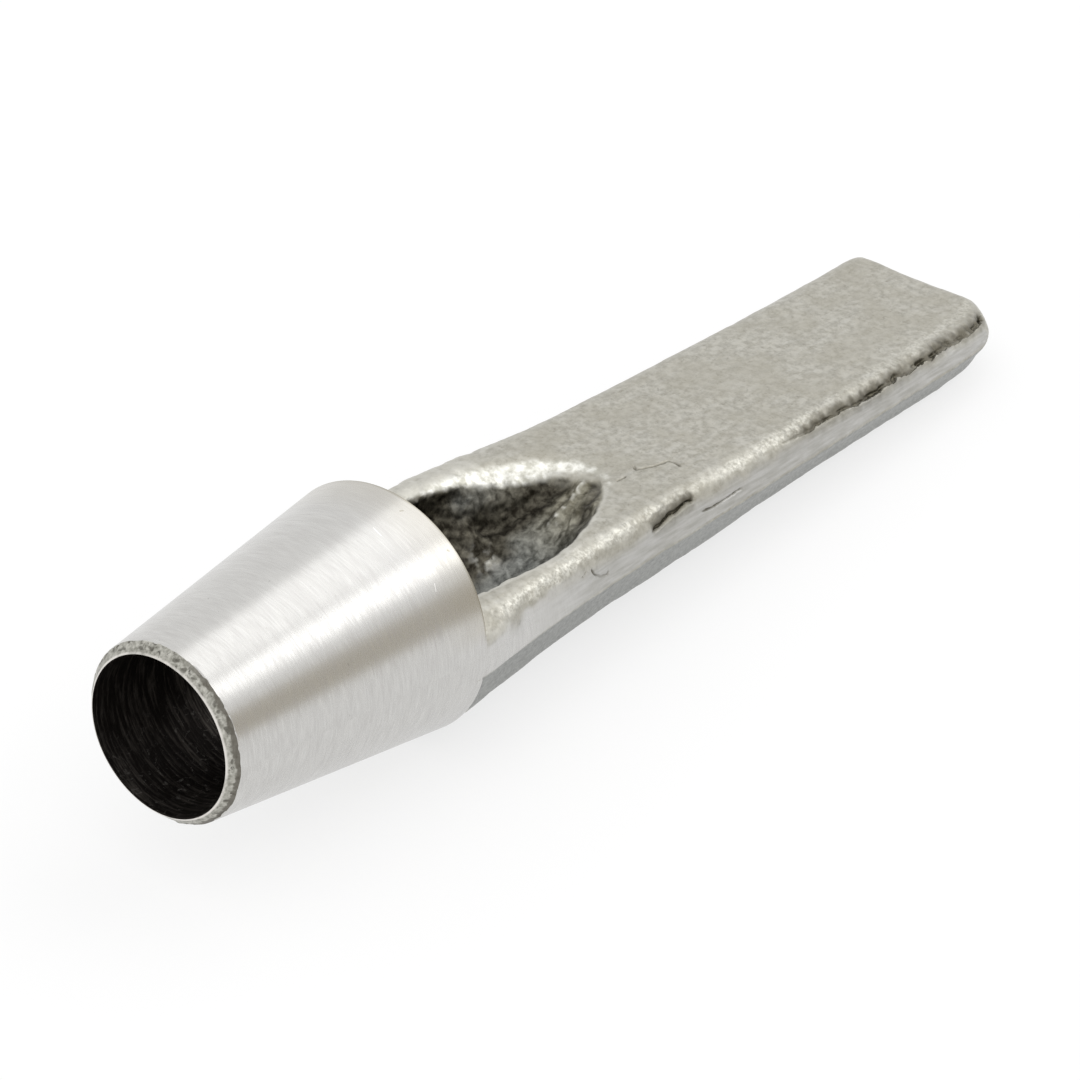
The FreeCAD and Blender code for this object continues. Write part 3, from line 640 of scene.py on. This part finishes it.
streaks, streaks_in, streaks_out = new_group(
    "Grinding streaks",
    [("Lines per mm", "NodeSocketFloat", 5.0), ("Streak length", "NodeSocketFloat", 5.0)],
    [("Shade", "NodeSocketFloat"), ("Height", "NodeSocketFloat"), ("Broad bands", "NodeSocketFloat"),
     ("Nicks", "NodeSocketFloat")],
)
place = put(streaks, "ShaderNodeSeparateXYZ", links={0: punch_place(streaks)})
turn = math_node(streaks, "ARCTAN2", place.outputs["Z"], place.outputs["Y"])
arc_mm = math_node(streaks, "MULTIPLY", turn, 13.5)
line_x = math_node(streaks, "MULTIPLY", place.outputs["X"], streaks_in.outputs["Lines per mm"])
arc_x = math_node(streaks, "DIVIDE", arc_mm, streaks_in.outputs["Streak length"])
streak_at = put(streaks, "ShaderNodeCombineXYZ", links={"X": line_x, "Y": arc_x})
fine_lines = put(
    streaks, "ShaderNodeTexNoise", {"Scale": 1.0, "Detail": 3.0, "Roughness": 0.65},
    {"Vector": streak_at.outputs[0]},
)
half_line = math_node(streaks, "MULTIPLY", line_x, 0.22)
half_arc = math_node(streaks, "MULTIPLY", arc_x, 0.6)
wide_at = put(streaks, "ShaderNodeCombineXYZ", {"Z": 7.0}, {"X": half_line, "Y": half_arc})
wide_lines = put(
    streaks, "ShaderNodeTexNoise", {"Scale": 1.0, "Detail": 2.0, "Roughness": 0.5},
    {"Vector": wide_at.outputs[0]},
)
both = math_node(
    streaks, "ADD", math_node(streaks, "MULTIPLY", fine_lines.outputs["Fac"], 0.7),
    math_node(streaks, "MULTIPLY", wide_lines.outputs["Fac"], 0.3),
)
nick_noise = put(
    streaks, "ShaderNodeTexNoise", {"Scale": 0.9, "Detail": 2.0, "Roughness": 0.6, "Distortion": 1.5},
    {"Vector": punch_place(streaks)},
)
nicks = put(
    streaks, "ShaderNodeMapRange", {"From Min": 0.74, "From Max": 0.78}, {"Value": nick_noise.outputs["Fac"]},
    interpolation_type="SMOOTHSTEP",
)
streaks.links.new(both, streaks_out.inputs["Shade"])
streaks.links.new(fine_lines.outputs["Fac"], streaks_out.inputs["Height"])
streaks.links.new(wide_lines.outputs["Fac"], streaks_out.inputs["Broad bands"])
streaks.links.new(nicks.outputs["Result"], streaks_out.inputs["Nicks"])

nick_group, nick_in, nick_out = new_group(
    "Nick",
    [("Place", "NodeSocketVector", (0, 0, 0)), ("From", "NodeSocketVector", (0, 0, 0)),
     ("To", "NodeSocketVector", (0, 0, 0)), ("Half width", "NodeSocketFloat", 0.1)],
    [("Mask", "NodeSocketFloat")],
)


def vector_node(tree, operation, **links):
    numbered = {int(key[1]): value for key, value in links.items()}
    return put(tree, "ShaderNodeVectorMath", links=numbered, operation=operation)


nick_way = vector_node(
    nick_group, "SUBTRACT", v0=nick_in.outputs["To"], v1=nick_in.outputs["From"]
).outputs[0]
from_start = vector_node(
    nick_group, "SUBTRACT", v0=nick_in.outputs["Place"], v1=nick_in.outputs["From"]
).outputs[0]
far_along = math_node(
    nick_group, "DIVIDE", vector_node(nick_group, "DOT_PRODUCT", v0=from_start, v1=nick_way).outputs["Value"],
    vector_node(nick_group, "DOT_PRODUCT", v0=nick_way, v1=nick_way).outputs["Value"],
)
on_way = put(
    nick_group, "ShaderNodeVectorMath",
    links={0: nick_way, 3: stretch(nick_group, far_along, 0.0, 1.0)}, operation="SCALE",
)
nick_gap = vector_node(nick_group, "DISTANCE", v0=from_start, v1=on_way.outputs[0]).outputs["Value"]
nick_edge = math_node(nick_group, "DIVIDE", nick_gap, nick_in.outputs["Half width"])
nick_group.links.new(stretch(nick_group, nick_edge, 1.2, 0.6), nick_out.inputs["Mask"])

GROUND_DARK, GROUND_PALE = (0.525, 0.515, 0.50), (0.635, 0.63, 0.61)
ground_steel, tree, shader = new_finish("ground_steel")
lines = group_node(tree, streaks, Lines_per_mm=4.5, Streak_length=3.0)
colour = blend(tree, stretch(tree, lines.outputs["Shade"], 0.32, 0.68), GROUND_DARK, GROUND_PALE)
colour = blend(tree, math_node(tree, "MULTIPLY", lines.outputs["Nicks"], 0.6), colour, (0.25, 0.24, 0.22))
DARK_NICK, BRIGHT_NICK = (0.36, 0.34, 0.29), (0.88, 0.87, 0.85)
for start, stop, half, shade in (
    ((36.8, -3.6, 15.3), (37.1, -3.8, 15.3), 0.12, DARK_NICK),
    ((32.4, -3.3, 14.8), (32.2, -4.7, 14.4), 0.07, BRIGHT_NICK),
    ((37.8, -10.0, 12.2), (37.9, -10.1, 12.1), 0.15, DARK_NICK),
    ((33.8, -11.5, 10.1), (33.5, -12.0, 9.4), 0.07, BRIGHT_NICK),
):
    nick = group_node(tree, nick_group, From=start, To=stop, Half_width=half)
    tree.links.new(punch_place(tree), nick.inputs["Place"])
    colour = blend(tree, nick.outputs["Mask"], colour, shade)
place = put(tree, "ShaderNodeSeparateXYZ", links={0: punch_place(tree)})
over_arms = stretch(tree, place.outputs["Z"], 1.5, 3.5)
near_rim = math_node(tree, "MULTIPLY", stretch(tree, place.outputs["X"], 32.0, 38.4, 0.0, 0.45), over_arms)
colour = blend(tree, near_rim, colour, (0.53, 0.50, 0.43))
wavering = math_node(
    tree, "ADD", place.outputs["X"], math_node(tree, "MULTIPLY", lines.outputs["Broad bands"], 0.4)
)
rim_line = math_node(tree, "MULTIPLY", stretch(tree, wavering, 38.62, 38.85, 0.0, 0.75), over_arms)
colour = blend(tree, rim_line, colour, (0.34, 0.315, 0.25))
tree.links.new(colour, shader.inputs["Base Color"])
tree.links.new(stretch(tree, lines.outputs["Shade"], 0.3, 0.7, 0.31, 0.23), shader.inputs["Roughness"])
shader.inputs["Metallic"].default_value = 1.0
bump = put(
    tree, "ShaderNodeBump", {"Strength": 0.12, "Distance": 0.00002}, {"Height": lines.outputs["Height"]}
)
tree.links.new(bump.outputs[0], shader.inputs["Normal"])

# Forged steel, on the arms, the shank and in the throat: descaled grey skin with a fine grain and darker
# specks, dark in the throat and pale where it is rubbed or dressed. Painted shade darkens the folds, the
# laps, the skin under the parting line and the throat's pockets, groove and near wall, and a painted
# highlight runs along the right shoulder, the throat's left lip and the crest of its ridge.
skin_group, skin_in, skin_out = new_group(
    "Forged skin",
    [("Grain in mm", "NodeSocketFloat", 0.45), ("Speck in mm", "NodeSocketFloat", 0.9),
     ("Speck level", "NodeSocketFloat", 0.56)],
    [("Shade", "NodeSocketFloat"), ("Specks", "NodeSocketFloat"), ("Height", "NodeSocketFloat"),
     ("Patches", "NodeSocketFloat"), ("Drawn lines", "NodeSocketFloat"), ("Dents", "NodeSocketFloat")],
)
skin_place = punch_place(skin_group)
grain_scale = math_node(skin_group, "DIVIDE", 1.0, skin_in.outputs["Grain in mm"])
speck_scale = math_node(skin_group, "DIVIDE", 1.0, skin_in.outputs["Speck in mm"])
grain = put(
    skin_group, "ShaderNodeTexNoise", {"Detail": 4.0, "Roughness": 0.6, "Distortion": 0.3},
    {"Vector": skin_place, "Scale": grain_scale},
)
speck = put(
    skin_group, "ShaderNodeTexNoise", {"Detail": 5.0, "Roughness": 0.75, "Distortion": 0.8},
    {"Vector": skin_place, "Scale": speck_scale},
)
speck_full = math_node(skin_group, "ADD", skin_in.outputs["Speck level"], 0.12)
speck_mask = put(
    skin_group, "ShaderNodeMapRange",
    links={"Value": speck.outputs["Fac"], "From Min": skin_in.outputs["Speck level"], "From Max": speck_full},
    interpolation_type="SMOOTHSTEP",
)
patches = put(
    skin_group, "ShaderNodeTexNoise", {"Scale": 0.16, "Detail": 3.0, "Roughness": 0.6}, {"Vector": skin_place}
)
dents = put(
    skin_group, "ShaderNodeTexNoise", {"Scale": 0.9, "Detail": 3.0, "Roughness": 0.55}, {"Vector": skin_place}
)
drawn_at = put(skin_group, "ShaderNodeMapping", {"Scale": (0.25, 2.5, 2.5)}, {"Vector": skin_place})
drawn = put(skin_group, "ShaderNodeTexNoise", {"Scale": 1.0, "Detail": 3.0}, {"Vector": drawn_at.outputs[0]})
skin_group.links.new(grain.outputs["Fac"], skin_out.inputs["Shade"])
skin_group.links.new(speck_mask.outputs["Result"], skin_out.inputs["Specks"])
skin_group.links.new(
    math_node(
        skin_group, "ADD", math_node(skin_group, "MULTIPLY", grain.outputs["Fac"], 0.6),
        math_node(skin_group, "MULTIPLY", speck.outputs["Fac"], 0.8),
    ), skin_out.inputs["Height"],
)
skin_group.links.new(patches.outputs["Fac"], skin_out.inputs["Patches"])
skin_group.links.new(drawn.outputs["Fac"], skin_out.inputs["Drawn lines"])
skin_group.links.new(dents.outputs["Fac"], skin_out.inputs["Dents"])


def mark_mask(tree, name):
    return put(tree, "ShaderNodeAttribute", attribute_name=name).outputs["Fac"]


forged_steel, tree, shader = new_finish("forged_steel")
skin_node = group_node(tree, skin_group, Grain_in_mm=0.45, Speck_in_mm=0.9)
lines = group_node(tree, streaks, Lines_per_mm=4.5, Streak_length=3.0)
tone = stretch(tree, skin_node.outputs["Shade"], 0.3, 0.7)
colour = blend(tree, tone, (0.315, 0.30, 0.255), (0.44, 0.425, 0.37))
colour = blend(
    tree, stretch(tree, skin_node.outputs["Dents"], 0.40, 0.62, 0.0, 0.8), colour, (0.54, 0.525, 0.47)
)
colour = blend(
    tree, stretch(tree, skin_node.outputs["Drawn lines"], 0.35, 0.7, 0.0, 0.25), colour, (0.55, 0.55, 0.53)
)
colour = blend(
    tree, stretch(tree, skin_node.outputs["Patches"], 0.40, 0.62, 0.0, 0.5), colour, (0.39, 0.37, 0.31)
)
colour = blend(
    tree, math_node(tree, "MULTIPLY", skin_node.outputs["Specks"], 0.40), colour, (0.20, 0.185, 0.15)
)
flank_tone = blend(
    tree, stretch(tree, skin_node.outputs["Drawn lines"], 0.35, 0.65),
    (0.42, 0.415, 0.39), (0.53, 0.525, 0.51),
)
colour = blend(tree, mark_mask(tree, "flank"), colour, flank_tone)
# Painted shade on the downward-facing skin under the parting line.
below_parting_shade_tone = blend(tree, tone, (0.25, 0.255, 0.245), (0.37, 0.375, 0.36))
colour = blend(tree, mark_mask(tree, "below_parting_shade"), colour, below_parting_shade_tone)
colour = blend(tree, math_node(tree, "MULTIPLY", mark_mask(tree, "rubbed"), 0.5), colour, (0.68, 0.67, 0.62))
# Painted highlight along the right shoulder's worn strip, broken up by the grain.
shoulder_highlight = math_node(
    tree, "MULTIPLY", mark_mask(tree, "wear_and_highlight"), stretch(tree, skin_node.outputs["Shade"], 0.42, 0.6, 0.1, 0.75)
)
colour = blend(tree, shoulder_highlight, colour, (0.78, 0.77, 0.70))
throat_skin = group_node(tree, skin_group, Grain_in_mm=1.2, Speck_in_mm=1.6)
throat_dark_tone = blend(
    tree, stretch(tree, throat_skin.outputs["Shade"], 0.38, 0.68), (0.022, 0.019, 0.014), (0.125, 0.115, 0.09)
)
floor_tone = blend(
    tree, stretch(tree, throat_skin.outputs["Shade"], 0.35, 0.65), (0.12, 0.125, 0.117), (0.37, 0.38, 0.36)
)
warm_tone = blend(
    tree, stretch(tree, throat_skin.outputs["Shade"], 0.35, 0.65), (0.15, 0.135, 0.09), (0.44, 0.415, 0.32)
)
place = put(tree, "ShaderNodeSeparateXYZ", links={0: punch_place(tree)})
floor_tone = blend(tree, stretch(tree, place.outputs["X"], 65.0, 73.0, 0.0, 0.85), floor_tone, warm_tone)
# The throat's dark colour, with painted shade in its pockets, groove and along its near wall.
throat_tone = blend(tree, mark_mask(tree, "throat_darkness"), floor_tone, throat_dark_tone)
colour = blend(tree, mark_mask(tree, "in_throat"), colour, throat_tone)
# Polished lip with a painted highlight, painted glints on the ridge and pale flecks.
polish_and_highlight_tone = blend(
    tree, stretch(tree, skin_node.outputs["Dents"], 0.38, 0.6), (0.50, 0.49, 0.43), (0.80, 0.795, 0.745)
)
polish_and_highlight_tone = blend(
    tree, math_node(tree, "MULTIPLY", skin_node.outputs["Specks"], 0.35), polish_and_highlight_tone, (0.30, 0.29, 0.25)
)
colour = blend(tree, mark_mask(tree, "polish_and_highlight"), colour, polish_and_highlight_tone)
ground_tone = blend(tree, stretch(tree, lines.outputs["Shade"], 0.32, 0.68), GROUND_DARK, GROUND_PALE)
colour = blend(tree, mark_mask(tree, "ground"), colour, ground_tone)
# Painted shade above and just under each lap.
colour = blend(tree, math_node(tree, "MULTIPLY", mark_mask(tree, "painted_lap_shade"), 0.95), colour, (0.12, 0.11, 0.085))
# Painted shade in the folds, the crack and the scars.
colour = blend(tree, mark_mask(tree, "hollow"), colour, (0.13, 0.12, 0.09))
tree.links.new(colour, shader.inputs["Base Color"])
rough = stretch(tree, skin_node.outputs["Shade"], 0.3, 0.7, 0.50, 0.38)
rough = math_node(tree, "SUBTRACT", rough, math_node(tree, "MULTIPLY", mark_mask(tree, "ground"), 0.15))
rough = math_node(tree, "SUBTRACT", rough, math_node(tree, "MULTIPLY", mark_mask(tree, "wear_and_highlight"), 0.05))
rough = math_node(tree, "SUBTRACT", rough, math_node(tree, "MULTIPLY", mark_mask(tree, "polish_and_highlight"), 0.10))
tree.links.new(rough, shader.inputs["Roughness"])
shader.inputs["Metallic"].default_value = 1.0
bump = put(
    tree, "ShaderNodeBump", {"Strength": 0.5, "Distance": 0.00008}, {"Height": skin_node.outputs["Height"]}
)
tree.links.new(bump.outputs[0], shader.inputs["Normal"])

# The filed bevel's finish: grey steel with dark pits, left as filed.
bevel_steel, tree, shader = new_finish("filed_bevel")
skin_node = group_node(tree, skin_group, Grain_in_mm=0.5, Speck_in_mm=0.7, Speck_level=0.55)
place = put(tree, "ShaderNodeSeparateXYZ", links={0: punch_place(tree)})
colour = blend(
    tree, stretch(tree, skin_node.outputs["Shade"], 0.35, 0.65), (0.27, 0.265, 0.23), (0.55, 0.54, 0.49)
)
colour = blend(
    tree, math_node(tree, "MULTIPLY", skin_node.outputs["Specks"], 0.85), colour, (0.05, 0.045, 0.04)
)
# Painted shade in the filed pits.
colour = blend(
    tree, math_node(tree, "MULTIPLY", mark_mask(tree, "hollow"), 0.75), colour, (0.09, 0.085, 0.07)
)
# A darker ragged band along the bevel's back edge, on its right side only.
uneven_back = math_node(tree, "MULTIPLY", skin_node.outputs["Dents"], 1.1)
ragged_back = math_node(tree, "ADD", place.outputs["X"], uneven_back)
on_right = stretch(tree, place.outputs["Y"], -1.0, -6.0)
dark_back_band = math_node(tree, "MULTIPLY", stretch(tree, ragged_back, 1.20, 1.38), on_right)
colour = blend(tree, math_node(tree, "MULTIPLY", dark_back_band, 0.85), colour, (0.13, 0.12, 0.10))
worn_back = stretch(tree, skin_node.outputs["Patches"], 0.3, 0.5, 0.2, 0.9)
honed = math_node(tree, "MULTIPLY", stretch(tree, place.outputs["X"], 0.22, 0.06), worn_back)
colour = blend(tree, honed, colour, (0.80, 0.77, 0.73))
tree.links.new(colour, shader.inputs["Base Color"])
shader.inputs["Metallic"].default_value = 1.0
shader.inputs["Roughness"].default_value = 0.42
bump = put(
    tree, "ShaderNodeBump", {"Strength": 0.6, "Distance": 0.00008}, {"Height": skin_node.outputs["Height"]}
)
tree.links.new(bump.outputs[0], shader.inputs["Normal"])

# The bore: turned, coloured a very dark brown-black, with fine tool marks round it.
bore_steel, tree, shader = new_finish("dark_bore_steel")
lines = group_node(tree, streaks, Lines_per_mm=2.2, Streak_length=6.0)
colour = blend(
    tree, stretch(tree, lines.outputs["Shade"], 0.48, 0.72), (0.030, 0.025, 0.022), (0.24, 0.215, 0.19)
)
bore_skin = group_node(tree, skin_group, Grain_in_mm=0.5, Speck_in_mm=0.8)
place = put(tree, "ShaderNodeSeparateXYZ", links={0: punch_place(tree)})
low_side = stretch(tree, place.outputs["Z"], -3.0, -9.5)
scaled = math_node(tree, "MULTIPLY", math_node(tree, "MULTIPLY", bore_skin.outputs["Specks"], low_side), 0.8)
colour = blend(tree, scaled, colour, (0.42, 0.40, 0.37))
tree.links.new(colour, shader.inputs["Base Color"])
shader.inputs["Metallic"].default_value = 0.9
shader.inputs["Roughness"].default_value = 0.45
bump = put(tree, "ShaderNodeBump", {"Strength": 0.5, "Distance": 0.0001}, {"Height": lines.outputs["Height"]})
tree.links.new(bump.outputs[0], shader.inputs["Normal"])

GROUND, FORGED, FILED, DARK_BORE = range(4)
for finish in (ground_steel, forged_steel, bevel_steel, bore_steel):
    mesh.materials.append(finish)
finish_of_ring = []
for index, (at, ring_radius) in enumerate(profile):
    after_at, after_radius = profile[(index + 1) % len(profile)]
    middle_at, middle_radius = (at + after_at) / 2, (ring_radius + after_radius) / 2
    in_bore = middle_radius <= RELIEF_RADIUS + 0.01 and middle_at > BEVEL_DEPTH
    if middle_radius <= MOUTH_RADIUS + 0.001 or in_bore:
        finish_of_ring.append(DARK_BORE)
    elif middle_at < BEVEL_DEPTH:
        finish_of_ring.append(FILED)
    else:
        finish_of_ring.append(GROUND)
face_finish = np.concatenate([
    np.repeat(finish_of_ring, ROUND_STEPS), np.full(len(shank_faces), FORGED)
]).astype(np.int32)
mesh.polygons.foreach_set("material_index", face_finish)
mesh.shade_smooth()
mesh.set_sharp_from_angle(angle=math.radians(35))

# The bench: a plain white sheet, white to the camera and in reflections, that keeps the tool's soft shadow.
bpy.ops.mesh.primitive_plane_add(size=6, location=(0, 0, -0.0002))
bench = bpy.context.object
bench.name = "bench_sheet"
sheet, tree, shader = new_finish("white_sheet")
shader.inputs["Base Color"].default_value = (0.96, 0.96, 0.96, 1)
shader.inputs["Roughness"].default_value = 0.9
path = tree.nodes.new("ShaderNodeLightPath")
seen = math_node(tree, "MAXIMUM", path.outputs["Is Camera Ray"], path.outputs["Is Transmission Ray"])
seen = math_node(tree, "MAXIMUM", seen, path.outputs["Is Glossy Ray"])
glow = put(tree, "ShaderNodeEmission", {"Color": (1, 1, 1, 1), "Strength": 1.0})
share = math_node(tree, "MULTIPLY", seen, 0.72)
mixed = put(tree, "ShaderNodeMixShader", links={0: share, 1: shader.outputs[0], 2: glow.outputs[0]})
out = next(node for node in tree.nodes if node.type == "OUTPUT_MATERIAL")
tree.links.new(mixed.outputs[0], out.inputs["Surface"])
bench.data.materials.append(sheet)

# The studio: even white light all round, three softboxes of different sizes above the tool's shank side and
# its right, one low before the mouth, and a warm grey card low on the right that draws the darker band along
# the cone.
world = bpy.data.worlds.new("studio")
bpy.context.scene.world = world
world.use_nodes = True
tree = world.node_tree
background = next(node for node in tree.nodes if node.type == "BACKGROUND")
background.inputs["Color"].default_value = (1, 1, 1, 1)
background.inputs["Strength"].default_value = 1.0


def softbox(name, towards, distance, size, glare):
    """A square lamp in that direction from the tool, aimed at it; glare is how bright its face looks."""
    lamp = bpy.data.lights.new(name, "AREA")
    lamp.shape = "SQUARE"
    lamp.size = size
    lamp.energy = glare * math.pi * size ** 2
    stand = bpy.data.objects.new(name, lamp)
    direction = Vector(towards).normalized()
    stand.location = direction * distance
    stand.rotation_euler = direction.to_track_quat("Z", "Y").to_euler()
    bpy.context.scene.collection.objects.link(stand)


softbox("right_softbox", (0.52, -0.51, 0.69), 1.2, 0.36, 1.5)
softbox("upper_softbox", (0.56, 0.02, 0.83), 1.2, 0.78, 0.65)
softbox("shoulder_softbox", (0.78, -0.35, 0.53), 1.2, 0.34, 1.3)
softbox("mouth_softbox", (-1.0, 0.1, 0.5), 1.2, 0.5, 0.6)

CARD_SIDE, CARD_HEIGHT = 0.36, 0.27
bpy.ops.mesh.primitive_plane_add(size=1)
card = bpy.context.object
card.name = "grey_card"
card_way = Vector((0.37, -0.90, 0.22)).normalized()
card.scale = (CARD_SIDE, CARD_HEIGHT, 1)
card.location = card_way * 0.6
card.rotation_euler = card_way.to_track_quat("Z", "Y").to_euler()
card_grey, tree, shader = new_finish("warm_grey_card")
glow = put(tree, "ShaderNodeEmission", {"Color": (0.56, 0.52, 0.445, 1), "Strength": 1.0})
out = next(node for node in tree.nodes if node.type == "OUTPUT_MATERIAL")
tree.links.new(glow.outputs[0], out.inputs["Surface"])
card.data.materials.append(card_grey)
card.visible_camera = False
card.visible_shadow = False
card.visible_diffuse = False

# Camera: a long lens, on the right-hand side of the mouth and looking down at 34 degrees.
lens = bpy.data.cameras.new("camera")
lens.lens = 150
lens.sensor_width = 36
lens.clip_start = 0.01
camera = bpy.data.objects.new("camera", lens)
camera.location = (-0.368304, -0.281166, 0.317343)
camera.rotation_euler = tuple(math.radians(turned) for turned in (56.0367, -0.4353, -51.7375))
bpy.context.scene.collection.objects.link(camera)
bpy.context.scene.camera = camera
bpy.context.scene.view_settings.view_transform = "Standard"

bpy.context.view_layer.update()
